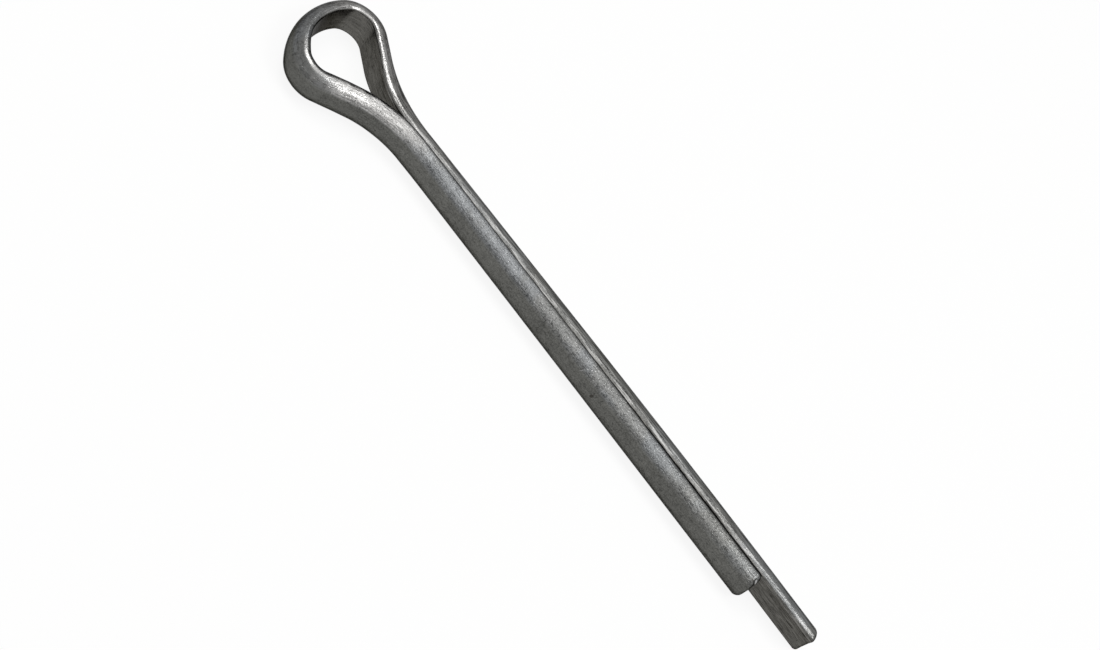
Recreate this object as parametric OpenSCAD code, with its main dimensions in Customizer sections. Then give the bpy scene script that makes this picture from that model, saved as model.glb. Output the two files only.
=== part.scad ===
// Extended-prong cotter pin: one length of half-round wire folded into a teardrop eye, with its
// two flats facing each other down a split shank and one prong left longer than the other.
// Millimetres. The origin is on the axis of the shank, where the eye begins. +X runs down the
// shank to the prong ends, +Y is the side of the long prong, and +Z is across the wire.
// The pin lies flat, with its eye in the XY plane.

/* [Wire] */
// width of the half-round wire, and so the diameter of the closed shank
wire_width = 4.4; // [3.6:0.05:5.3]
// rounding of the two long edges where the flat meets the round back
edge_radius = 0.45; // [0.3:0.05:0.6]
// how much thinner the wire is round a bend than along a straight
bend_thinning = 0.02; // [0.02:0.01:0.06]

/* [Shank] */
// gap between the two flats where the shank is closed
seat_gap = 0.06; // [0.04:0.01:0.2]
// length below the eye over which the two halves run parallel and closed
seat_length = 3.7; // [3:0.1:6]
// radius at which each prong springs away from the closed stretch
relief_radius = 44; // [30:1:60]
// angle by which the short prong leans away from the shank axis
short_lean = 0.7; // [0.2:0.1:1.2]
// angle by which the long prong leans away from the shank axis
long_lean = 0.6; // [0.2:0.1:1.2]
// distance from the start of the eye to the end of the short prong
short_reach = 60.7; // [48:0.1:75]
// how far the long prong runs past the short one
prong_extension = 8.9; // [6:0.1:12]
// straight stretch of the long prong before it bows back
long_straight = 22.5; // [15:0.5:28]
// angle through which the rest of the long prong bows back toward the short one
long_bow = 1.7; // [0.6:0.1:2]

/* [Eye] */
// radius of the flat where the short side leaves the shank
short_neck_radius = 12; // [9:0.1:15]
// angle through which the short side flares out of the shank
short_neck_turn = 39.5; // [36:0.5:46]
// radius of the flat in the shoulder of the short side
short_shoulder_radius = 2; // [1.6:0.1:3]
// angle turned by the shoulder of the short side
short_shoulder_turn = 88; // [84:0.5:92]
// radius of the flat round the head of the eye
crown_radius = 9.4; // [8.2:0.1:11]
// angle turned round the head of the eye
crown_turn = 55; // [50:0.5:60]
// straight stretch between the head and each shoulder
crown_flat = 0.3; // [0.2:0.05:0.6]
// radius of the flat in the shoulder of the long side
long_shoulder_radius = 2.2; // [1.6:0.1:3]
// radius of the flat where the long side leaves the shank
long_neck_radius = 18.5; // [15:0.5:20]
// angle through which the long side flares out of the shank
long_neck_turn = 34.2; // [31:0.2:38]

/* [Prong ends] */
// rounding of the cut end where it meets the round back
back_end_radius = 0.8; // [0.5:0.05:1]
// rounding of the cut end where it meets the flat
flat_end_radius = 0.5; // [0.3:0.05:0.7]
// last stretch of the long prong, straight again after its bow
long_end_stretch = 3; // [2:0.1:4]

/* [Hidden] */
$fn = 96;
// cutters run this far past what they cut
overrun = 1;
// straights run this far into the bends beside them
bite = 0.02;
// each rounding is set this far out, so that it crosses the faces it eases at a small angle
crossing = 0.015;

wire_radius = wire_width / 2;
// centre of each edge rounding
edge_depth = edge_radius - crossing;
edge_centre = [edge_depth, sqrt(pow(wire_radius - edge_depth, 2) - pow(edge_depth, 2))];

// The eye closes on itself: what the other bends of its head don't turn, the last shoulder does,
// and the two straight flares are as long as it takes to bring both sides back to the shank.
heading_flare = 180 + short_neck_turn;
heading_short = heading_flare - short_shoulder_turn;
heading_long = heading_short - crown_turn;
long_shoulder_turn = heading_long + long_neck_turn;

// how far a stretch carries the wire along X and Y
function along(run, heading) = run * [cos(heading), sin(heading)];
function round_bend(radius, before, after) =
    radius * [sin(after) - sin(before), cos(before) - cos(after)];

carried = round_bend(short_neck_radius, 180, heading_flare)
    - round_bend(short_shoulder_radius, heading_flare, heading_short)
    + along(crown_flat, heading_short)
    - round_bend(crown_radius, heading_short, heading_long)
    + along(crown_flat, heading_long)
    - round_bend(long_shoulder_radius, heading_long, -long_neck_turn)
    + round_bend(long_neck_radius, -long_neck_turn, 0);
missing = [0, seat_gap] - carried;
out = along(1, heading_flare);
back = along(1, -long_neck_turn);
spread = cross(out, back);
short_flare = cross(missing, back) / spread;
long_flare = cross(out, missing) / spread;

short_straight = (short_reach - seat_length - relief_radius * sin(short_lean)) / cos(short_lean);
bowed_reach = short_reach + prong_extension - seat_length - relief_radius * sin(long_lean)
    - long_straight * cos(long_lean) - long_end_stretch;
bow_radius = bowed_reach / (long_bow * PI / 180);

// What the edge rounding takes off one corner of the half-round bar.
module edge_wedge(inset) {
    difference() {
        polygon([
            edge_centre,
            2 * edge_centre,
            [-overrun, wire_width],
            [-overrun, edge_centre.y]
        ]);
        translate(edge_centre)
            circle(edge_radius - inset);
    }
}

// Section of the wire: X is depth behind the flat, Y is across the wire. The inset thins it evenly.
module wire_section(inset = 0) {
    difference() {
        intersection() {
            circle(wire_radius - inset);
            translate([inset, -wire_width])
                square([wire_width, 2 * wire_width]);
        }
        edge_wedge(inset);
        mirror([0, 1])
            edge_wedge(inset);
    }
}

// Each stretch of wire starts at the origin heading along +X, with its flat on the XZ plane and
// its round back toward +Y, and hands its far end on to the stretch that follows it.
module straight(run) {
    translate([-bite, 0, 0])
        rotate([90, 0, 90])
            linear_extrude(run + 2 * bite)
                wire_section();
    translate([run, 0, 0])
        children();
}

// Bend toward the round back, so that the flat is on the outside of the bend.
module bend_back(radius, turn) {
    translate([0, radius, 0]) {
        rotate_extrude(angle = turn, start = -90)
            translate([radius, 0])
                mirror([1, 0])
                    wire_section(bend_thinning / 2);
        rotate([0, 0, turn])
            translate([0, -radius, 0])
                children();
    }
}

// Bend toward the flat, so that the round back is on the outside of the bend.
module bend_flat(radius, turn) {
    translate([0, -radius, 0]) {
        rotate_extrude(angle = -turn, start = 90)
            translate([radius, 0])
                wire_section(bend_thinning / 2);
        rotate([0, 0, -turn])
            translate([0, radius, 0])
                children();
    }
}

// Outline that eases the cut end against the round back, to be spun about the wire.
module back_end_outline(run) {
    middle_out = wire_radius - back_end_radius + crossing;
    middle_along = run - back_end_radius + crossing;
    translate([0, -overrun])
        square([middle_out, run + 2 * overrun]);
    translate([0, -overrun])
        square([wire_radius + overrun, middle_along + overrun]);
    translate([middle_out, middle_along])
        circle(back_end_radius);
}

// Wedge that eases the cut end against the flat.
module flat_end_wedge(run) {
    middle = flat_end_radius - crossing;
    translate([run - middle, middle, -wire_width])
        linear_extrude(2 * wire_width)
            difference() {
                translate([0, -middle - overrun])
                    square([middle + overrun, middle + overrun]);
                circle(flat_end_radius);
            }
}

// Last stretch of a prong, sheared square across and eased all round by tumbling.
module prong_end(run) {
    difference() {
        intersection() {
            translate([-bite, 0, 0])
                rotate([90, 0, 90])
                    linear_extrude(run + bite)
                        wire_section();
            rotate([0, 90, 0])
                rotate_extrude()
                    back_end_outline(run);
        }
        flat_end_wedge(run);
    }
}

module eye() {
    translate([0, -seat_gap / 2, 0])
        rotate([0, 0, 180])
            bend_back(short_neck_radius, short_neck_turn)
                straight(short_flare)
                    bend_flat(short_shoulder_radius, short_shoulder_turn)
                        straight(crown_flat)
                            bend_flat(crown_radius, crown_turn)
                                straight(crown_flat)
                                    bend_flat(long_shoulder_radius, long_shoulder_turn)
                                        straight(long_flare)
                                            bend_back(long_neck_radius, long_neck_turn);
}

module short_prong() {
    translate([0, -seat_gap / 2, 0])
        mirror([0, 1, 0])
            straight(seat_length)
                bend_back(relief_radius, short_lean)
                    prong_end(short_straight);
}

module long_prong() {
    translate([0, seat_gap / 2, 0])
        straight(seat_length)
            bend_back(relief_radius, long_lean)
                straight(long_straight)
                    bend_flat(bow_radius, long_bow)
                        prong_end(long_end_stretch);
}

module cotter_pin() {
    color([0.47, 0.46, 0.44])
        union() {
            eye();
            short_prong();
            long_prong();
        }
}

cotter_pin();
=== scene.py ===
import math

import bpy
from mathutils import Matrix, Vector


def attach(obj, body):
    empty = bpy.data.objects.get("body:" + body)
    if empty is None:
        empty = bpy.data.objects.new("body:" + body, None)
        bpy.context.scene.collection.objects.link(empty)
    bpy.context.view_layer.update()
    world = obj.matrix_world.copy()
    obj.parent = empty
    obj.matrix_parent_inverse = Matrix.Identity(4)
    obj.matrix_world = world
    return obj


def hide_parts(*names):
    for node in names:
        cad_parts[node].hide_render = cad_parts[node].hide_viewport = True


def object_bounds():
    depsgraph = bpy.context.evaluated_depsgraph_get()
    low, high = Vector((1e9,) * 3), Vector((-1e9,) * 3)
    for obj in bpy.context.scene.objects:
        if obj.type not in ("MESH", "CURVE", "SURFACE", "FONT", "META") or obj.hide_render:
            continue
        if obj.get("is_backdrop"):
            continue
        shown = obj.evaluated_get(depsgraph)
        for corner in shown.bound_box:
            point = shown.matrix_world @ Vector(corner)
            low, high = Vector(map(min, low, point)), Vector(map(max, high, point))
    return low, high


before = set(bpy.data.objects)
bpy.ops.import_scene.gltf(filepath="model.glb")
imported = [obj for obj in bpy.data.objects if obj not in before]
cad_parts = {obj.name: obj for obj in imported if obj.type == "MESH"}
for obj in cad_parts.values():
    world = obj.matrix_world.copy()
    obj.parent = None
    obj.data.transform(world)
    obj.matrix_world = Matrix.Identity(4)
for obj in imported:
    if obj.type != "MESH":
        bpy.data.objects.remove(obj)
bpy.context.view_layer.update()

mm = 0.001


# One socket of a node tree, so that sums of shader and geometry values are written as plain sums.
class NodeValue:
    def __init__(self, tree, socket=None):
        self.tree = tree
        self.socket = socket

    def node(self, kind, settings=None, sockets=None, out=0):
        made = self.tree.nodes.new(kind)
        for name, value in (settings or {}).items():
            setattr(made, name, value)
        for name, value in (sockets or {}).items():
            if isinstance(value, NodeValue):
                self.tree.links.new(value.socket, made.inputs[name])
            else:
                made.inputs[name].default_value = value
        return NodeValue(self.tree, made.outputs[out] if len(made.outputs) else None)

    def maths(self, operation, *terms):
        return self.node("ShaderNodeMath", {"operation": operation}, dict(enumerate(terms)))

    def atLeast(self, other):
        return self.maths("MAXIMUM", self, other)

    def atMost(self, other):
        return self.maths("MINIMUM", self, other)

    def between(self, low, high):
        # nothing up to low, one from high, and a smooth rise from one to the other
        return self.node(
            "ShaderNodeMapRange",
            {"interpolation_type": "SMOOTHSTEP"},
            {"Value": self, "From Min": low, "From Max": high},
        )

    def inBand(self, low, lowFull, highFull, high):
        return self.between(low, lowFull) * (1 - self.between(highFull, high))

    def vector(self, x, y=0.0, z=0.0):
        return self.node("ShaderNodeCombineXYZ", None, {"X": x, "Y": y, "Z": z})

    def parts(self):
        split = self.node("ShaderNodeSeparateXYZ", None, {"Vector": self}).socket.node
        return [NodeValue(self.tree, output) for output in split.outputs]

    def vectors(self, operation, *terms):
        return self.node("ShaderNodeVectorMath", {"operation": operation}, dict(enumerate(terms)))

    def scaled(self, factor):
        sockets = {"Vector": self, "Scale": factor}
        return self.node("ShaderNodeVectorMath", {"operation": "SCALE"}, sockets)

    def mixed(self, first, second):
        # the first colour where this value is nothing, the second where it is one
        return self.node("ShaderNodeMix", {"data_type": "RGBA"}, {0: self, 6: first, 7: second}, out=2)

    def __neg__(self):
        return self.maths("SUBTRACT", 0.0, self)

    def __abs__(self):
        return self.maths("ABSOLUTE", self)

    def __add__(self, other):
        return self.maths("ADD", self, other)

    def __radd__(self, other):
        return self.maths("ADD", other, self)

    def __sub__(self, other):
        return self.maths("SUBTRACT", self, other)

    def __rsub__(self, other):
        return self.maths("SUBTRACT", other, self)

    def __mul__(self, other):
        return self.maths("MULTIPLY", self, other)

    def __rmul__(self, other):
        return self.maths("MULTIPLY", other, self)

    def __truediv__(self, other):
        return self.maths("DIVIDE", self, other)

    def __rtruediv__(self, other):
        return self.maths("DIVIDE", other, self)


# the folded wire, in millimetres and degrees
wire = {
    "radius": 2.19,
    "edgeRadius": 0.46,
    "seatGap": 0.06,
    "seatLength": 3.7,
    "reliefRadius": 44.0,
    "shortLean": 0.7,
    "longLean": 0.6,
    "shortReach": 60.53,
    "prongExtension": 9.0,
    "longStraight": 22.5,
    "longBow": 1.7,
    "longEndStretch": 3.0,
    "shortNeckRadius": 12.0,
    "shortNeckTurn": 39.5,
    "shortShoulderRadius": 2.0,
    "shortShoulderTurn": 88.0,
    "crownRadius": 9.4,
    "crownTurn": 55.0,
    "crownFlat": 0.3,
    "longShoulderRadius": 2.2,
    "longNeckRadius": 18.5,
    "longNeckTurn": 34.2,
    # how far apart the rings of the mesh are, and the stretch at each end where they are closest
    "ringStep": 0.34,
    "bendStep": 0.14,
    "flareStep": 0.2,
    "shoulderStep": 0.08,
    "endStep": 0.06,
    "endStretch": 1.2,
    # how many steps the section takes over its back, its upper edge, its flat and its lower edge
    "backSteps": 60,
    "upperEdgeSteps": 14,
    "flatSteps": 18,
    "lowerEdgeSteps": 10,
    # the rounding of the cut ends, and how far inside its neighbour the ring under each cap lies
    "endRounding": {"back": 0.8, "flat": 0.5, "cap": 0.25},
    # the core that the end rings draw in toward, and the largest share of the way there
    "endCore": {"depth": 0.95, "across": 0.75, "share": 0.9},
    # how far the underside of each end runs on for each millimetre across, and where that fades out
    "endSlant": {"rise": 0.04, "reach": 4.0},
    # how squarely a point faces the flat's way where the flat's rounding starts and where it is full
    "flatFacing": (-0.2, 0.9),
    # the upper edge: where it begins and is full across the wire, and fades and ends behind the flat
    "upperEdge": {"across": (1.0, 1.7), "depth": (0.3, 1.2)},
    # the chip at the short end: how far along, how far round from the crown of the back, how wide
    # and how deep it is, the share of its width that its wall takes up, and how ragged it is
    "chip": {"along": 0.15, "round": 60.0, "size": 0.42, "depth": 0.2, "wall": 0.6, "ragged": 0.35},
    # the worn upper edge of the long prong: how far its slope lies round from square and in from
    # the corner, how sharp its corners stay, and how far it stands proud of the flat
    "wornEdge": {"slope": 19.0, "depth": 0.17, "sharpness": 25.0, "lip": 0.14},
    # the upper side of the back, pressed flat where the wire is bent sharply: how far round from
    # square its face looks, how far it lies from the centre, how soft its border is and how much
    # of its roundness it keeps
    "pressedBack": {"slope": 53.0, "depth": 1.93, "softness": 0.07, "round": 0.12},
    # how uneven the surface and the upper edge are, and how much of that the edge keeps unworn
    "unevenness": {"surface": 0.006, "edge": 0.12, "edgeLeast": 0.3},
    # the waves of each metre of the surface and of the chip, and of each millimetre of the edge
    "waves": {"surface": 700.0, "chip": 4200.0, "edge": 0.5},
    "seed": 7,
    # how the wire changes on its way round: its turn about itself in degrees, how far its flat and
    # its back have moved the way the back faces, how far it is lowered, how worn its upper edge is,
    # how far the upper side of its back is pressed flat, and how polished its shoulders are, which
    # the finish also paints brighter as a painted highlight
    "changing": ("turn", "flatOut", "backOut", "lowered", "worn", "pressed", "polished"),
    "changes": {
        "short end": (2.5, -0.2, 0.0, 0.0, 0.0, 0.0, 0.0),
        "short middle": (1.5, -0.16, 0.02, 0.0, 0.0, 0.0, 0.03),
        "short seat": (1.0, -0.02, 0.08, 0.0, 0.0, 0.0, 0.06),
        "short neck": (1.0, 0.0, 0.24, 0.0, 0.0, 0.0, 0.85),
        "short flare": (0.0, -0.28, 0.04, 0.0, 0.0, 0.1, 0.8),
        "short shoulder": (-3.0, -0.26, 0.0, 0.0, 0.0, 1.0, 0.0),
        "short cheek": (-5.5, -0.08, 0.0, 0.0, 0.0, 0.7, 0.0),
        "low head": (-8.0, 0.22, 0.0, -0.06, 0.0, 0.3, 0.1),
        "head": (-5.0, 0.2, 0.0, -0.04, 0.25, 0.1, 0.55),
        "long cheek": (-1.0, 0.12, 0.0, 0.0, 0.2, 0.0, 1.0),
        "long shoulder": (1.5, -0.08, 0.0, 0.01, 0.4, 0.0, 0.9),
        "long flare": (1.5, -0.12, 0.0, 0.0, 0.3, 0.0, 0.9),
        "long neck": (13.0, -0.2, 0.02, 0.05, 0.5, 0.0, 0.9),
        "long seat": (6.0, 0.06, 0.08, 0.03, 0.7, 0.0, 0.4),
        "long middle": (11.0, -0.02, 0.1, 0.04, 1.0, 0.0, 0.2),
        "long bow": (11.0, 0.0, 0.1, 0.04, 0.9, 0.0, 0.2),
        "long end": (11.0, -0.1, 0.08, 0.04, 0.55, 0.0, 0.1),
    },
}


def layPath(size):
    # walks the middle of the flat from the short end, round the eye, to the long end
    points = []
    marks = {}
    spot = {"x": 0.0, "y": 0.0, "heading": 0.0, "along": 0.0}

    def drop():
        points.append((spot["x"], spot["y"], spot["heading"], spot["along"]))

    def mark(name):
        marks[name] = spot["along"]

    def straight(run, step=size["ringStep"]):
        count = max(1, round(run / step))
        for i in range(count):
            spot["x"] += run / count * math.cos(spot["heading"])
            spot["y"] += run / count * math.sin(spot["heading"])
            spot["along"] += run / count
            drop()

    def bend(radius, turn, step=size["bendStep"]):
        # a positive turn bends toward the round back
        turn = math.radians(turn)
        run = radius * abs(turn)
        side = 1 if turn > 0 else -1
        count = max(4, round(run / step))
        start = spot["heading"]
        x = spot["x"] - side * radius * math.sin(start)
        y = spot["y"] + side * radius * math.cos(start)
        for i in range(count):
            heading = start + turn * (i + 1) / count
            spot["x"] = x + side * radius * math.sin(heading)
            spot["y"] = y - side * radius * math.cos(heading)
            spot["heading"] = heading
            spot["along"] += run / count
            drop()

    def halfBends(radius, turn, name, step=size["bendStep"]):
        bend(radius, turn / 2, step)
        mark(name)
        bend(radius, turn / 2, step)

    # the two flares are as long as it takes to bring both sides of the eye back to the shank
    flareHeading = math.radians(180 + size["shortNeckTurn"])
    shortHeading = flareHeading - math.radians(size["shortShoulderTurn"])
    longHeading = shortHeading - math.radians(size["crownTurn"])
    longShoulderTurn = math.degrees(longHeading) + size["longNeckTurn"]
    neckHeading = -math.radians(size["longNeckTurn"])

    def carried(radius, before, after):
        return Vector((math.sin(after) - math.sin(before), math.cos(before) - math.cos(after))) * radius

    def along(run, heading):
        return Vector((math.cos(heading), math.sin(heading))) * run

    missing = Vector((0, size["seatGap"])) - (
        carried(size["shortNeckRadius"], math.pi, flareHeading)
        - carried(size["shortShoulderRadius"], flareHeading, shortHeading)
        + along(size["crownFlat"], shortHeading)
        - carried(size["crownRadius"], shortHeading, longHeading)
        + along(size["crownFlat"], longHeading)
        - carried(size["longShoulderRadius"], longHeading, neckHeading)
        + carried(size["longNeckRadius"], neckHeading, 0)
    )
    out = along(1, flareHeading)
    back = along(1, neckHeading)
    spread = out.x * back.y - out.y * back.x
    shortFlare = (missing.x * back.y - missing.y * back.x) / spread
    longFlare = (out.x * missing.y - out.y * missing.x) / spread

    lean = math.radians(size["shortLean"])
    relief = size["reliefRadius"]
    shortStraight = (size["shortReach"] - size["seatLength"] - relief * math.sin(lean)) / math.cos(lean)
    spot["x"] = size["shortReach"]
    spot["y"] = (
        -size["seatGap"] / 2 - relief * (1 - math.cos(lean)) - shortStraight * math.sin(lean)
    )
    spot["heading"] = math.pi - lean
    drop()
    mark("short end")
    straight(size["endStretch"], size["endStep"])
    straight(shortStraight / 2 - size["endStretch"])
    mark("short middle")
    straight(shortStraight / 2)
    bend(relief, size["shortLean"])
    mark("short seat")
    straight(size["seatLength"])
    halfBends(size["shortNeckRadius"], size["shortNeckTurn"], "short neck")
    straight(shortFlare / 2, size["flareStep"])
    mark("short flare")
    straight(shortFlare / 2, size["flareStep"])
    halfBends(
        size["shortShoulderRadius"], -size["shortShoulderTurn"], "short shoulder", size["shoulderStep"]
    )
    straight(size["crownFlat"])
    mark("short cheek")
    toHead = math.degrees(shortHeading) - 90
    halfBends(size["crownRadius"], -toHead, "low head")
    mark("head")
    bend(size["crownRadius"], toHead - size["crownTurn"])
    mark("long cheek")
    straight(size["crownFlat"])
    halfBends(size["longShoulderRadius"], -longShoulderTurn, "long shoulder", size["shoulderStep"])
    straight(longFlare, size["flareStep"])
    mark("long flare")
    halfBends(size["longNeckRadius"], size["longNeckTurn"], "long neck")
    straight(size["seatLength"])
    bend(relief, size["longLean"])
    mark("long seat")
    straight(size["longStraight"])
    mark("long middle")
    lean = math.radians(size["longLean"])
    bowedReach = (
        size["shortReach"] + size["prongExtension"] - size["seatLength"] - relief * math.sin(lean)
        - size["longStraight"] * math.cos(lean) - size["longEndStretch"]
    )
    bowRadius = bowedReach / math.radians(size["longBow"])
    halfBends(bowRadius, -size["longBow"], "long bow", size["ringStep"])
    straight(size["longEndStretch"] - size["endStretch"])
    straight(size["endStretch"], size["endStep"])
    mark("long end")
    return points, marks


def smoothed(places, values, run):
    # passes through every value in turn without swinging past any of them
    rises = [(b - a) / (q - p) for p, q, a, b in zip(places, places[1:], values, values[1:])]
    slopes = [0.0]
    for before, after in zip(rises, rises[1:]):
        steady = before * after > 0
        slopes.append(2 * before * after / (before + after) if steady else 0.0)
    slopes.append(0.0)
    numbers = []
    for along in run:
        i = sum(1 for place in places[1:-1] if place < along)
        span = places[i + 1] - places[i]
        share = max(0.0, min(1.0, (along - places[i]) / span))
        rest = 1 - share
        start = values[i] * (1 + 2 * share) + slopes[i] * span * share
        end = values[i + 1] * (1 + 2 * rest) - slopes[i + 1] * span * rest
        numbers.append(start * rest * rest + end * share * share)
    return numbers


def lineMesh(name, spots, closed, **values):
    # a bare chain of edges that carries one number per point for each named value
    edges = [(i, i + 1) for i in range(len(spots) - 1)]
    if closed:
        edges.append((len(spots) - 1, 0))
    mesh = bpy.data.meshes.new(name)
    mesh.from_pydata(spots, edges, [])
    for value, numbers in values.items():
        mesh.attributes.new(value, "FLOAT", "POINT").data.foreach_set("value", numbers)
    made = bpy.data.objects.new(name, mesh)
    bpy.context.scene.collection.objects.link(made)
    return made


def makeSection(size):
    # half-round outline with rounded edges: how far each point lies behind the flat and across the
    # wire, and how squarely it faces the way the back does
    big = size["radius"]
    small = size["edgeRadius"]
    middle = math.sqrt((big - small) ** 2 - small**2)
    blend = math.acos(small / (big - small))
    edgeTurn = math.pi - blend
    outline = []

    def arc(radius, depth, across, start, turn, count, steps):
        for i in steps:
            angle = start + turn * i / count
            facing = math.cos(angle)
            outline.append((depth + radius * facing, across + radius * math.sin(angle), facing))

    count = size["backSteps"]
    arc(big, 0.0, 0.0, -blend, 2 * blend, count, range(count + 1))
    count = size["upperEdgeSteps"]
    arc(small, small, middle, blend, edgeTurn, count, range(1, count + 1))
    count = size["flatSteps"]
    for i in range(1, count):
        outline.append((0.0, middle - 2 * middle * i / count, -1.0))
    count = size["lowerEdgeSteps"]
    arc(small, small, -middle, math.pi, edgeTurn, count, range(count))
    return outline


def wornSection(size, outline):
    # each point of the upper edge goes out to the nearest of the back, the slope and the proud
    # flat, with the corners between them rounded
    wear = size["wornEdge"]
    big = size["radius"]
    edge = size["edgeRadius"]
    centre = Vector((edge, math.sqrt((big - edge) ** 2 - edge**2)))
    lipStart = centre.y / 2
    deepest = big / 2  # points further behind the flat belong to the back
    onFlat = 0.01  # points nearer than this lie on the flat
    least = 0.05  # a face that lies nearly along the way out is never reached
    slope = math.radians(90 + wear["slope"])
    slopeWay = Vector((math.cos(slope), math.sin(slope)))
    slopeRun = big * slopeWay.y - wear["depth"] - centre.dot(slopeWay)
    worn = []
    for depth, across, facing in outline:
        proud = wear["lip"] * max(0.0, min(1.0, (across - lipStart) / (centre.y - lipStart)))
        if across < centre.y or depth > deepest:
            worn.append((depth - proud if depth < onFlat else depth, across))
            continue
        way = (Vector((depth, across)) - centre).normalized()
        half = centre.dot(way)
        runs = [math.sqrt(half**2 - centre.length_squared + big**2) - half]
        if way.dot(slopeWay) > least:
            runs.append(slopeRun / way.dot(slopeWay))
        if way.x < -least:
            runs.append((edge + wear["lip"]) / -way.x)
        nearness = sum(math.exp(-run * wear["sharpness"]) for run in runs)
        run = -math.log(nearness) / wear["sharpness"]
        worn.append(tuple(centre + way * run))
    return worn


def pressedSection(size, outline):
    # the upper side of the back is let in behind a nearly flat face, with a soft border
    press = size["pressedBack"]
    slope = math.radians(press["slope"])
    faceWay = Vector((math.sin(slope), math.cos(slope)))
    pressed = []
    for depth, across, facing in outline:
        spot = Vector((depth, across))
        proud = spot.dot(faceWay) - press["depth"]
        proud = (proud + math.hypot(proud, press["softness"])) / 2
        pressed.append(tuple(spot - faceWay * proud * (1 - press["round"])))
    return pressed


path, marks = layPath(wire)
wireLength = path[-1][3]
endRun = [min(along, wireLength - along) for x, y, heading, along in path]
# one more ring at each end, marked by a run below nothing, lies inside the last and takes the cap
path = [path[0]] + path + [path[-1]]
endRun = [-1.0] + endRun + [-1.0]
places = [marks[name] for name in wire["changes"]]
changes = {}
for name, values in zip(wire["changing"], zip(*wire["changes"].values())):
    changes[name] = smoothed(places, values, [point[3] for point in path])
changes["turn"] = [math.radians(turn) for turn in changes["turn"]]
pathLine = lineMesh(
    "wirePath",
    [(x * mm, y * mm, 0.0) for x, y, heading, along in path],
    False,
    heading=[point[2] for point in path],
    along=[point[3] for point in path],
    endRun=endRun,
    **changes,
)
outline = makeSection(wire)
worn = wornSection(wire, outline)
pressed = pressedSection(wire, outline)
sectionLine = lineMesh(
    "wireSection",
    [(depth * mm, across * mm, 0.0) for depth, across, facing in outline],
    True,
    depth=[point[0] for point in outline],
    across=[point[1] for point in outline],
    facing=[point[2] for point in outline],
    wornDepth=[point[0] for point in worn],
    wornAcross=[point[1] for point in worn],
    pressedDepth=[point[0] for point in pressed],
    pressedAcross=[point[1] for point in pressed],
)
print("wire path laid:", len(path), "rings,", round(wireLength, 1), "mm of wire")


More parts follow.
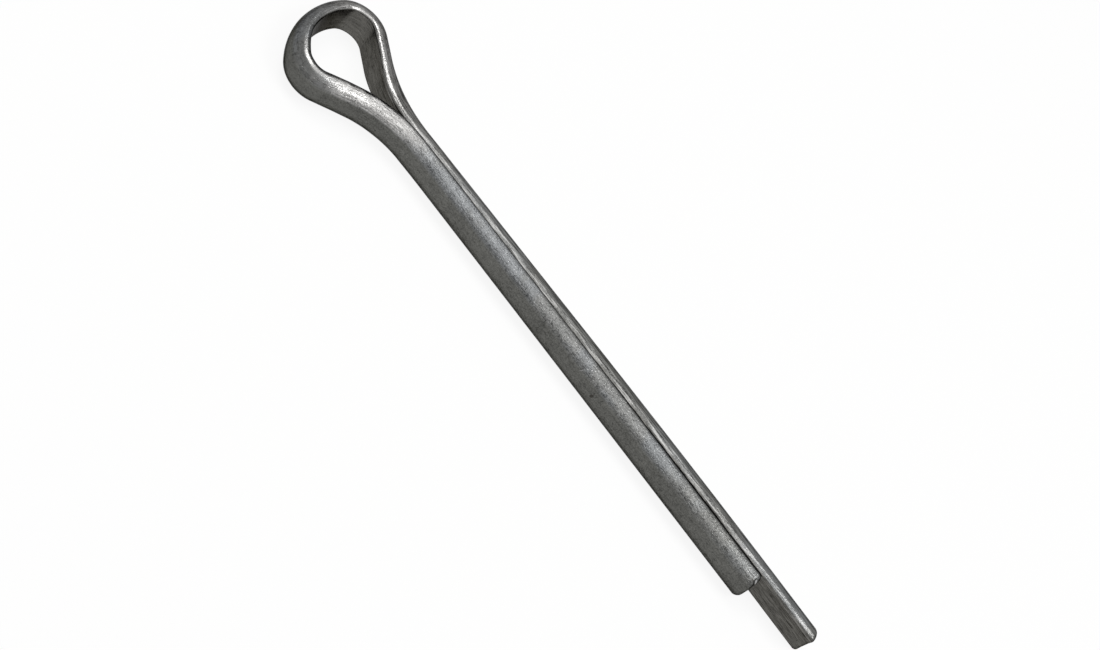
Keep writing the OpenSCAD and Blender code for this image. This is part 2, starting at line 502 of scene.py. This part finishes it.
def sweepTree(size, inputs):
    tree = bpy.data.node_groups.new("sweptWire", "GeometryNodeTree")
    tree.interface.new_socket("Path", in_out="INPUT", socket_type="NodeSocketGeometry")
    for name, (kind, amount) in inputs.items():
        tree.interface.new_socket(name, in_out="INPUT", socket_type="NodeSocket" + kind)
    tree.interface.new_socket("Wire", in_out="OUTPUT", socket_type="NodeSocketGeometry")
    graph = NodeValue(tree)
    given = tree.nodes.new("NodeGroupInput")

    def take(name):
        return NodeValue(tree, given.outputs[name])

    def value(name):
        return graph.node("GeometryNodeInputNamedAttribute", {"data_type": "FLOAT"}, {"Name": name})

    def noise(where, scale, detail=2.0):
        seedStep = 3.7  # keeps the patterns of one seed apart from those of the next
        return graph.node(
            "ShaderNodeTexNoise",
            {"noise_dimensions": "4D"},
            {"Vector": where, "W": take("Seed") * seedStep, "Scale": scale, "Detail": detail},
        )

    position = graph.node("GeometryNodeInputPosition")
    line = graph.node("GeometryNodeMeshToCurve", None, {"Mesh": take("Path")})
    section = graph.node("GeometryNodeObjectInfo", None, {"Object": take("Section")}, out="Geometry")
    loop = graph.node("GeometryNodeMeshToCurve", None, {"Mesh": section})
    middle = graph.node("GeometryNodeCaptureAttribute", None, {"Geometry": line})
    capture = middle.socket.node
    capture.capture_items.new("VECTOR", "Middle")
    tree.links.new(position.socket, capture.inputs[1])
    centre = NodeValue(tree, capture.outputs[1])
    swept = graph.node(
        "GeometryNodeCurveToMesh",
        None,
        {"Curve": middle, "Profile Curve": loop, "Fill Caps": True},
    )

    # the cut ends are eased: each ring near an end draws in along a quarter circle
    run = value("endRun")
    onFlat = (-value("facing")).between(*size["flatFacing"])
    ease = take("Back end radius") * (1 - onFlat) + take("Flat end radius") * onFlat
    left = (ease - run.atLeast(0.0)).atLeast(0.0)
    drawn = ease - graph.maths("SQRT", (ease * ease - left * left).atLeast(0.0))
    drawn = drawn + graph.maths("LESS_THAN", run, 0.0) * take("Cap inset")

    # a ragged chip is broken out of the short end
    along = value("along")
    around = graph.maths("ARCTAN2", value("across"), value("depth"))
    aside = (around - take("Chip round")) * take("Radius")
    ahead = along - take("Chip along")
    ragged = (noise(position, take("Chip waves")) - 0.5) * take("Chip raggedness")
    reach = graph.maths("SQRT", aside * aside + ahead * ahead) + ragged
    inChip = (take("Chip size") - reach).between(0.0, take("Chip size") * take("Chip wall"))
    drawn = drawn + inChip * take("Chip depth")

    # the section, plain, worn or pressed, with its flat and its back moved
    isWorn = value("worn")
    isPressed = value("pressed")
    plain = 1 - isWorn - isPressed
    depth = value("depth") * plain + value("wornDepth") * isWorn + value("pressedDepth") * isPressed
    across = value("across") * plain + value("wornAcross") * isWorn
    across = across + value("pressedAcross") * isPressed
    flatOut = value("flatOut")
    depth = depth * (1 + (value("backOut") - flatOut) / take("Radius")) + flatOut

    # a ring draws in toward a core inside it, so that its points don't cross on the way
    coreDepth = take("Core depth") - depth
    coreAcross = across.atLeast(-take("Core across")).atMost(take("Core across")) - across
    coreRun = graph.maths("SQRT", coreDepth * coreDepth + coreAcross * coreAcross)
    share = (drawn / coreRun).atMost(take("Core share"))
    depth = depth + coreDepth * share
    across = across + coreAcross * share

    # the worn upper edge wanders in and out
    edge = size["upperEdge"]
    onEdge = value("across").between(*edge["across"]) * (1 - value("depth").between(*edge["depth"]))
    least = take("Least edge share")
    row = graph.vector(along * take("Edge waves"))
    wander = (noise(row, scale=1.0, detail=3.0) - 0.5) * take("Edge waviness")
    wander = wander * (least + isWorn * (1 - least))
    depth = depth + onEdge * wander

    # the section stands square to the path, turned a little about it, and the ends slope
    cosTurn = graph.maths("COSINE", value("turn"))
    sinTurn = graph.maths("SINE", value("turn"))
    outX = -graph.maths("SINE", value("heading"))
    outY = graph.maths("COSINE", value("heading"))
    flatward = depth * cosTurn - across * sinTurn
    upward = depth * sinTurn + across * cosTurn - value("lowered")
    endSide = 1 - along.between(marks["short seat"], marks["long seat"]) * 2
    slant = -across * take("End slant") * (1 - run.between(0.0, take("Slant reach"))) * endSide
    offset = graph.vector(flatward * outX - slant * outY, flatward * outY + slant * outX, upward)
    placed = graph.node(
        "GeometryNodeSetPosition",
        None,
        {"Geometry": swept, "Position": graph.vectors("ADD", centre, offset.scaled(mm))},
    )

    # what the finish reads: where on the wire each point lies, what has been done to it there, and where it
    # gets a painted highlight
    def stored(geometry, name, *values):
        return graph.node(
            "GeometryNodeStoreNamedAttribute",
            {"data_type": "FLOAT_VECTOR", "domain": "POINT"},
            {"Geometry": geometry, "Name": name, "Value": graph.vector(*values)},
        )

    marked = stored(placed, "wirePlace", along, value("depth"), value("across"))
    marked = stored(marked, "wireState", isWorn, value("polished"), isPressed)

    # slight unevenness of drawn and bent wire, always inward
    rumple = noise(position, take("Waves")) - 1.0
    normal = graph.node("GeometryNodeInputNormal")
    uneven = graph.node(
        "GeometryNodeSetPosition",
        None,
        {"Geometry": marked, "Offset": normal.scaled(rumple * take("Waviness") * mm)},
    )
    smooth = graph.node(
        "GeometryNodeSetShadeSmooth",
        {"domain": "FACE"},
        {"Geometry": uneven, "Shade Smooth": True},
    )
    real = graph.node("GeometryNodeRealizeInstances", None, {"Geometry": smooth})
    finished = graph.node(
        "GeometryNodeSetMaterial",
        None,
        {"Geometry": real, "Material": take("Finish")},
    )
    result = tree.nodes.new("NodeGroupOutput")
    tree.links.new(finished.socket, result.inputs["Wire"])
    return tree


# dull drawn steel: a grainy round back, cooler shoulders painted lighter as a highlight, dark rolled flats
steel = {
    "tones": {
        "crown": (0.106, 0.106, 0.099),
        # lighter than the crown: a painted highlight where the shoulders face the softboxes
        "shoulder": (0.131, 0.132, 0.129),
        "cool": (0.127, 0.132, 0.136),
        # the bright tone of polish, laid over shoulders, crest and worn facet as a painted highlight
        "polished": (0.31, 0.305, 0.298),
        "flat": (0.106, 0.103, 0.095),
        "dirt": (0.045, 0.043, 0.039),
        "bright": (0.36, 0.36, 0.36),
        "edgeTint": (0.27, 0.27, 0.27),
    },
    # where the zones of the section begin and are full, in millimetres across the wire
    "shoulderAcross": (0.95, 1.5),
    "rimAcross": (1.5, 1.7),
    "facetAcross": (1.45, 1.65),
    "crestAcross": (1.9, 2.05),
    # where they begin to fade and are gone, in millimetres behind the flat
    "flatDepth": (0.02, 0.16),
    "rimDepth": (0.25, 0.5),
    "facetDepth": (0.4, 0.6),
    # bands: where each begins, is full, begins to fade and is gone
    "borderAcross": (1.15, 1.35, 1.6, 1.8),
    "crestDepth": (0.5, 0.65, 0.85, 1.0),
    "shoulderSharpened": 0.3,  # how much sooner it is full where polished
    "shoulderWorn": 0.5,  # how much of it wear takes away
    "rimWidened": 0.2,  # how much deeper it reaches where pressed or polished
    # beside the short end the shoulders and their painted highlight show this share, and over this stretch
    # come up to the full
    "faintShare": 0.5,
    "faintAlong": (2.0, 26.0),
    # patterns: size in millimetres, detail and roughness
    "grain": (0.17, 2.0, 0.6),
    "peel": (0.42, 2.0, 0.5),
    "mottle": (1.3, 4.0, 0.65),
    "patch": (5.0, 2.0, 0.5),
    "glintPatch": (0.9, 2.0, 0.5),
    "streaks": (0.26, 2.0, 0.6),
    "fineStreaks": (0.104, 2.0, 0.6),
    "streakLength": 3.2,
    # specks: their size in millimetres, where each fades out, and where on a pattern they are kept
    "pits": {"size": 0.55, "fade": (0.06, 0.2), "kept": (0.5, 0.62)},
    "glints": {"size": 0.3, "fade": (0.1, 0.26), "kept": (0.52, 0.66)},
    "cracks": {"size": 0.42, "fade": (0.0, 0.12), "kept": (0.42, 0.6)},
    # how much calmer the grain is where the wire is worn, pressed and polished
    "calm": {"worn": 0.65, "pressed": 0.6, "polished": 0.45},
    # how strongly each pattern or zone shades the tone
    "shade": {
        "grain": 1.4,
        "mottle": 0.6,
        "patch": 0.4,
        "fine": 0.6,
        "fineOnFlat": 1.0,
        "fineOnShankFlat": 0.8,
        "streaks": 0.4,
        "streaksOnFlat": 0.5,
        "streaksOnShankFlat": 0.5,
        "streaksOnWorn": 2.6,
        "grainOnFacet": 1.6,
        "fineOnPolished": 1.6,
        # painted light on the long prong's back and painted shade on the back of the eye's long side
        "shank": 0.4,
        "longSideShade": 0.18,
        "cracks": 0.3,
        # painted shade on the rounded edges beside the flat, facing the hole and the gap
        "rimShade": 0.5,
        "rimShadeOnPolish": 0.25,
        "border": 0.22,
    },
    # where on its pattern a tone or a shade is kept
    "coolKept": (0.4, 0.58),
    "borderKept": (0.35, 0.6),
    "facetStreaks": (0.48, 0.6),
    "stainKept": (0.6, 0.78),
    # how far the bright and dark tones cover the steel's own; over the crest and the worn facet the bright
    # tone is a painted highlight
    "glintCover": 0.9,
    "facetCover": 0.2,
    "facetStreakCover": 0.55,
    "leastCrest": 0.5,
    "pitDirt": 0.7,
    "stainDirt": 0.5,
    "leastStain": 0.4,
    # roughness, and how much each pattern or zone adds to it
    "roughness": 0.21,
    "rough": {"grain": 0.3, "mottle": 0.2, "flat": 0.1, "dirt": 0.2, "glints": -0.1, "worn": -0.06},
    # the height of the relief in millimetres, and how much each pattern adds to it
    "relief": 0.055,
    "height": {
        "grain": 0.2,
        "grainOnBack": 0.4,
        "peel": 0.7,
        "fine": 0.25,
        "streaks": 0.35,
        "streaksOnWorn": 1.6,
        "pits": 0.6,
        "cracks": 0.25,
    },
    # single marks: how far from which end, how far round the section in degrees from the crown of
    # the back, half length, half width, slant in degrees, and how dark, or bright below nothing
    "marks": (
        {"end": "long", "along": 3.0, "round": 169.0, "size": (0.66, 0.13), "slant": 0.0, "dark": 1.0},
        {"end": "long", "along": 6.7, "round": 152.0, "size": (0.32, 0.09), "slant": 4.0, "dark": 0.6},
        {"end": "short", "along": 27.1, "round": 8.0, "size": (0.18, 0.28), "slant": 20.0, "dark": 1.0},
        {"end": "short", "along": 29.95, "round": 32.0, "size": (0.05, 0.28), "slant": 25.0, "dark": -0.45},
        # beside the chip at the short end: a painted shadow, and inside the chip a painted highlight
        {"end": "short", "along": 0.62, "round": 54.0, "size": (0.2, 0.12), "slant": 10.0, "dark": 0.9},
        {"end": "short", "along": 0.2, "round": 66.0, "size": (0.16, 0.1), "slant": 0.0, "dark": -1.0},
    ),
    "markRagged": 1.6,
    "markFade": (0.5, 1.3),
}


def makeSteel(look):
    material = bpy.data.materials.new("drawnSteel")
    material.use_nodes = True
    tree = material.node_tree
    tree.nodes.clear()
    graph = NodeValue(tree)
    tones = {name: (*tone, 1.0) for name, tone in look["tones"].items()}
    spot = graph.node("ShaderNodeTexCoord", out="Object").scaled(1 / mm)

    def attribute(name):
        return graph.node("ShaderNodeAttribute", {"attribute_name": name}, out="Vector").parts()

    def noise(where, size, detail, roughness):
        sockets = {"Vector": where, "Scale": 1 / size, "Detail": detail, "Roughness": roughness}
        return graph.node("ShaderNodeTexNoise", None, sockets)

    def specks(kind, feature, pattern):
        sockets = {"Vector": spot, "Scale": 1 / kind["size"]}
        cells = graph.node("ShaderNodeTexVoronoi", {"feature": feature}, sockets)
        return (1 - cells.between(*kind["fade"])) * pattern.between(*kind["kept"])

    along, depth, across = attribute("wirePlace")
    worn, polished, pressed = attribute("wireState")

    # where on the section a point lies
    flat = 1 - depth.between(*look["flatDepth"])
    back = 1 - flat
    unworn = 1 - worn
    low, high = look["shoulderAcross"]
    faint = look["faintShare"]
    shoulder = abs(across).between(low, high - polished * look["shoulderSharpened"])
    shoulder = shoulder * back * (1 - worn * look["shoulderWorn"])
    shoulder = shoulder * (faint + along.between(*look["faintAlong"]) * (1 - faint))
    border = across.inBand(*look["borderAcross"]) * back * unworn * (1 - polished)
    rimDepth = depth - (pressed + polished) * look["rimWidened"]
    # the rounded edges beside the flat are darkened: painted shade where they face the hole and the gap
    rimShade = abs(across).between(*look["rimAcross"]) * (1 - rimDepth.between(*look["rimDepth"]))
    facet = across.between(*look["facetAcross"]) * (1 - depth.between(*look["facetDepth"])) * worn
    crest = across.between(*look["crestAcross"]) * depth.inBand(*look["crestDepth"]) * pressed

    # and where along the wire
    rimShade = rimShade * (1 - along.between(marks["short cheek"], marks["head"]))
    crest = crest * (1 - along.between(marks["short cheek"], marks["low head"]))
    shank = along.between(marks["long neck"], marks["long seat"])
    longSideShade = along.between(marks["low head"], marks["long cheek"])

    # streaks run with the wire, squeezed to a fraction of their length
    squeeze = look["streaks"][0] / look["streakLength"]
    drawn = graph.vector(along * squeeze, depth, across)
    streaks = noise(drawn, *look["streaks"])
    fine = noise(drawn, *look["fineStreaks"])
    grain = noise(spot, *look["grain"])
    peel = noise(spot, *look["peel"])
    mottle = noise(spot, *look["mottle"])
    patch = noise(spot, *look["patch"])
    pits = specks(look["pits"], "F1", mottle)
    glints = specks(look["glints"], "F1", noise(spot, *look["glintPatch"]))
    cracks = specks(look["cracks"], "DISTANCE_TO_EDGE", peel)

    # the tone of each zone; the shoulders' lighter tone is a painted highlight where they face the
    # softboxes
    shoulderTone = patch.between(*look["coolKept"]).mixed(tones["shoulder"], tones["cool"])
    # where polished, the shoulders take the bright tone: a painted highlight of the side softboxes
    shoulderTone = (polished * shoulder).mixed(shoulderTone, tones["polished"])
    tone = shoulder.mixed(tones["crown"], shoulderTone)
    tone = flat.mixed(tone, tones["flat"])

    # shaded by the patterns, plus painted shade along the rim and painted light and shade on the long
    # side's back
    calm = look["calm"]
    smooth = (worn * calm["worn"]).atLeast(pressed * calm["pressed"])
    part = look["shade"]
    fineShare = part["fine"] + flat * (part["fineOnFlat"] + shank * part["fineOnShankFlat"])
    streakShare = part["streaks"] + flat * (part["streaksOnFlat"] + shank * part["streaksOnShankFlat"])
    streakShare = streakShare + worn * back * part["streaksOnWorn"]
    shade = 1 + (grain - 0.5) * part["grain"] * (1 - smooth)
    shade = shade + (mottle - 0.5) * part["mottle"] + (patch - 0.5) * part["patch"]
    shade = shade + (fine - 0.5) * fineShare + (streaks - 0.5) * streakShare
    shade = shade + (grain - 0.5) * facet * part["grainOnFacet"]
    shade = shade + (fine - 0.5) * polished * shoulder * part["fineOnPolished"]
    # the long prong's back is painted lighter and the eye's long side painted darker: painted light and
    # shade
    shade = shade + back * (1 - facet) * (shank * part["shank"] - longSideShade * part["longSideShade"])
    shade = shade - cracks * back * unworn * part["cracks"]
    shade = shade - rimShade * (part["rimShade"] + polished * part["rimShadeOnPolish"])
    shade = shade - border * peel.between(*look["borderKept"]) * part["border"]
    tone = graph.vectors("MULTIPLY", tone, graph.vector(shade, shade, shade))

    # bright and dark places: painted glints, a painted highlight on the crest and the worn facet, and dirt
    tone = (glints * shoulder * (1 - smooth) * look["glintCover"]).mixed(tone, tones["bright"])
    # the crest and the worn facet take the bright tone in broken streaks: a painted highlight
    highlightStreaks = streaks.between(*look["facetStreaks"]) * look["facetStreakCover"]
    paintedHighlight = crest * polished.atLeast(look["leastCrest"])
    paintedHighlight = paintedHighlight + facet * (highlightStreaks + polished * look["facetCover"])
    tone = paintedHighlight.atMost(1.0).mixed(tone, tones["polished"])
    least = look["leastStain"]
    stain = mottle.between(*look["stainKept"]) * (least + flat * (1 - least))
    dirt = (pits * look["pitDirt"] + stain * look["stainDirt"]).atMost(1.0)
    tone = dirt.mixed(tone, tones["dirt"])

    # the single marks
    radius = wire["radius"]
    nudge = 0.001  # puts the flat a little more than a quarter turn round
    around = graph.maths("ARCTAN2", across, depth - nudge)
    for mark in look["marks"]:
        place = wireLength - mark["along"] if mark["end"] == "long" else mark["along"]
        turn = math.radians(mark["round"])
        slant = math.radians(mark["slant"])
        ahead = along - place
        aside = across - radius * math.sin(turn) if mark["round"] > 90 else (around - turn) * radius
        longways = (ahead * math.cos(slant) + aside * math.sin(slant)) / mark["size"][0]
        sideways = (aside * math.cos(slant) - ahead * math.sin(slant)) / mark["size"][1]
        reach = longways * longways + sideways * sideways + (grain - 0.5) * look["markRagged"]
        inside = 1 - reach.between(*look["markFade"])
        # dark marks take the dirt tone and bright ones the bright tone; at the chip they are a painted
        # shadow and a painted highlight
        tone = (inside * abs(mark["dark"])).mixed(tone, tones["dirt" if mark["dark"] > 0 else "bright"])

    part = look["rough"]
    rough = look["roughness"] + (grain - 0.5) * part["grain"] + (mottle - 0.5) * part["mottle"]
    rough = rough + flat * part["flat"] + dirt * part["dirt"]
    rough = rough + glints * part["glints"] + worn * part["worn"]

    part = look["height"]
    rugged = 1 - smooth.atLeast(polished * calm["polished"])
    height = (part["grain"] + back * part["grainOnBack"]) * grain * rugged
    height = height + peel * back * rugged * part["peel"] + fine * rugged * part["fine"]
    height = height + streaks * (part["streaks"] + worn * part["streaksOnWorn"])
    height = height - pits * part["pits"] - cracks * back * rugged * part["cracks"]
    sockets = {"Strength": 1.0, "Distance": look["relief"] * mm, "Height": height}
    bump = graph.node("ShaderNodeBump", None, sockets)
    metal = graph.node(
        "ShaderNodeBsdfPrincipled",
        None,
        {
            "Base Color": tone,
            "Metallic": 1.0,
            "Roughness": rough,
            "Specular Tint": tones["edgeTint"],
            "Normal": bump,
        },
    )
    graph.node("ShaderNodeOutputMaterial", None, {"Surface": metal})
    return material


steelFinish = makeSteel(steel)
print("steel finish made:", len(steelFinish.node_tree.nodes), "nodes")

rounding = wire["endRounding"]
core = wire["endCore"]
sweepInputs = {
    "Section": ("Object", sectionLine),
    "Radius": ("Float", wire["radius"]),
    "Back end radius": ("Float", rounding["back"]),
    "Flat end radius": ("Float", rounding["flat"]),
    "Cap inset": ("Float", rounding["cap"]),
    "Core depth": ("Float", core["depth"]),
    "Core across": ("Float", core["across"]),
    "Core share": ("Float", core["share"]),
    "End slant": ("Float", wire["endSlant"]["rise"]),
    "Slant reach": ("Float", wire["endSlant"]["reach"]),
    "Chip along": ("Float", wire["chip"]["along"]),
    "Chip round": ("Float", math.radians(wire["chip"]["round"])),
    "Chip size": ("Float", wire["chip"]["size"]),
    "Chip depth": ("Float", wire["chip"]["depth"]),
    "Chip wall": ("Float", wire["chip"]["wall"]),
    "Chip raggedness": ("Float", wire["chip"]["ragged"]),
    "Chip waves": ("Float", wire["waves"]["chip"]),
    "Waviness": ("Float", wire["unevenness"]["surface"]),
    "Waves": ("Float", wire["waves"]["surface"]),
    "Edge waviness": ("Float", wire["unevenness"]["edge"]),
    "Edge waves": ("Float", wire["waves"]["edge"]),
    "Least edge share": ("Float", wire["unevenness"]["edgeLeast"]),
    "Seed": ("Int", wire["seed"]),
    "Finish": ("Material", steelFinish),
}
sweep = pathLine.modifiers.new("sweptWire", "NODES")
sweep.node_group = sweepTree(wire, sweepInputs)
for item in sweep.node_group.interface.items_tree:
    if item.name in sweepInputs:
        sweep[item.identifier] = sweepInputs[item.name][1]

swept = pathLine.evaluated_get(bpy.context.evaluated_depsgraph_get())
wireMesh = bpy.data.meshes.new_from_object(swept)
cotterPin = bpy.data.objects.new("cotterPinWire", wireMesh)
bpy.context.scene.collection.objects.link(cotterPin)
for helper in (pathLine, sectionLine):
    bpy.data.objects.remove(helper)
print("wire swept:", len(wireMesh.polygons), "faces")

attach(cotterPin, "root")
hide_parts("cotter_pin")

# the room, in metres
studio = {
    "height": 0.55,
    # each softbox: where it starts and ends in degrees from straight above, along X and along Y
    "softboxes": (
        {"name": "overhead", "across": (-19.0, 19.0), "deep": (-36.0, 19.0), "glow": 1.38},
        {"name": "leftSide", "across": (-42.0, -20.0), "deep": (-9.0, 24.0), "glow": 6.5},
        {"name": "rightSide", "across": (20.0, 42.0), "deep": (-9.0, 24.0), "glow": 6.5},
    ),
    "roomGlow": 0.25,
    "floorTone": (0.82, 0.82, 0.81),
    "floorGlow": 0.9,
    "floorReach": 3.0,
}
white = (1.0, 1.0, 1.0, 1.0)


def shownWhite(graph, share):
    # one for rays that show the background itself, times the share of it that doesn't take light
    rays = graph.node("ShaderNodeLightPath").socket.node.outputs
    names = ("Is Camera Ray", "Is Glossy Ray", "Is Transmission Ray")
    return sum((NodeValue(graph.tree, rays[name]) for name in names), 0.0).atMost(1.0) * share


low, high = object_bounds()
reach = studio["floorReach"]
floorMesh = bpy.data.meshes.new("floor")
floorMesh.from_pydata(
    [(x * reach, y * reach, low.z) for x, y in ((-1, -1), (1, -1), (1, 1), (-1, 1))],
    [],
    [(0, 1, 2, 3)],
)
floor = bpy.data.objects.new("floor", floorMesh)
bpy.context.scene.collection.objects.link(floor)
floor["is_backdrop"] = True

paper = bpy.data.materials.new("palePaper")
paper.use_nodes = True
paper.node_tree.nodes.clear()
graph = NodeValue(paper.node_tree)
matt = graph.node("ShaderNodeBsdfDiffuse", None, {"Color": (*studio["floorTone"], 1.0)})
glow = graph.node("ShaderNodeEmission", None, {"Color": white, "Strength": 1.0})
shown = shownWhite(graph, studio["floorGlow"])
surface = graph.node("ShaderNodeMixShader", None, {0: shown, 1: matt, 2: glow})
graph.node("ShaderNodeOutputMaterial", None, {"Surface": surface})
floorMesh.materials.append(paper)

for box in studio["softboxes"]:
    left, right, near, far = (
        studio["height"] * math.tan(math.radians(angle)) for angle in box["across"] + box["deep"]
    )
    lamp = bpy.data.lights.new(box["name"], "AREA")
    lamp.shape = "RECTANGLE"
    lamp.size = right - left
    lamp.size_y = far - near
    lamp.energy = box["glow"] * math.pi * lamp.size * lamp.size_y
    softbox = bpy.data.objects.new(box["name"], lamp)
    softbox.location = ((low.x + high.x + left + right) / 2, (near + far) / 2, studio["height"])
    bpy.context.scene.collection.objects.link(softbox)

world = bpy.data.worlds.new("room")
world.use_nodes = True
world.node_tree.nodes.clear()
graph = NodeValue(world.node_tree)
strength = shownWhite(graph, 1 - studio["roomGlow"]) + studio["roomGlow"]
room = graph.node("ShaderNodeBackground", None, {"Color": white, "Strength": strength})
graph.node("ShaderNodeOutputWorld", None, {"Surface": room})
bpy.context.scene.world = world

# the camera, in millimetres and degrees, with its clipping in metres
view = {
    "target": (24.60, -0.378, 0.0),
    "distance": 197.2,
    "lens": 59.08,
    "sensor": 36.0,
    "tilt": 47.12,
    "side": -0.44,
    "roll": 52.02,
    "clip": (0.01, 20.0),
}


def placeCamera(look):
    tilt = math.radians(look["tilt"])
    side = math.radians(look["side"])
    roll = math.radians(look["roll"])
    back = Vector((math.sin(side), -math.sin(tilt) * math.cos(side), math.cos(tilt) * math.cos(side)))
    level = (Vector((1, 0, 0)) - back * back.x).normalized()
    upright = back.cross(level)
    right = level * math.cos(roll) + upright * math.sin(roll)
    up = upright * math.cos(roll) - level * math.sin(roll)
    data = bpy.data.cameras.new("camera")
    data.sensor_width = look["sensor"]
    data.lens = look["lens"]
    data.clip_start, data.clip_end = look["clip"]
    made = bpy.data.objects.new("camera", data)
    eye = Vector(look["target"]) * mm + back * look["distance"] * mm
    facing = Matrix((right, up, back)).transposed().to_4x4()
    made.matrix_world = Matrix.Translation(eye) @ facing
    bpy.context.scene.collection.objects.link(made)
    return made


bpy.context.scene.camera = placeCamera(view)
bpy.context.scene.view_settings.view_transform = "Standard"
print("studio and camera placed")

low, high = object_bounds()
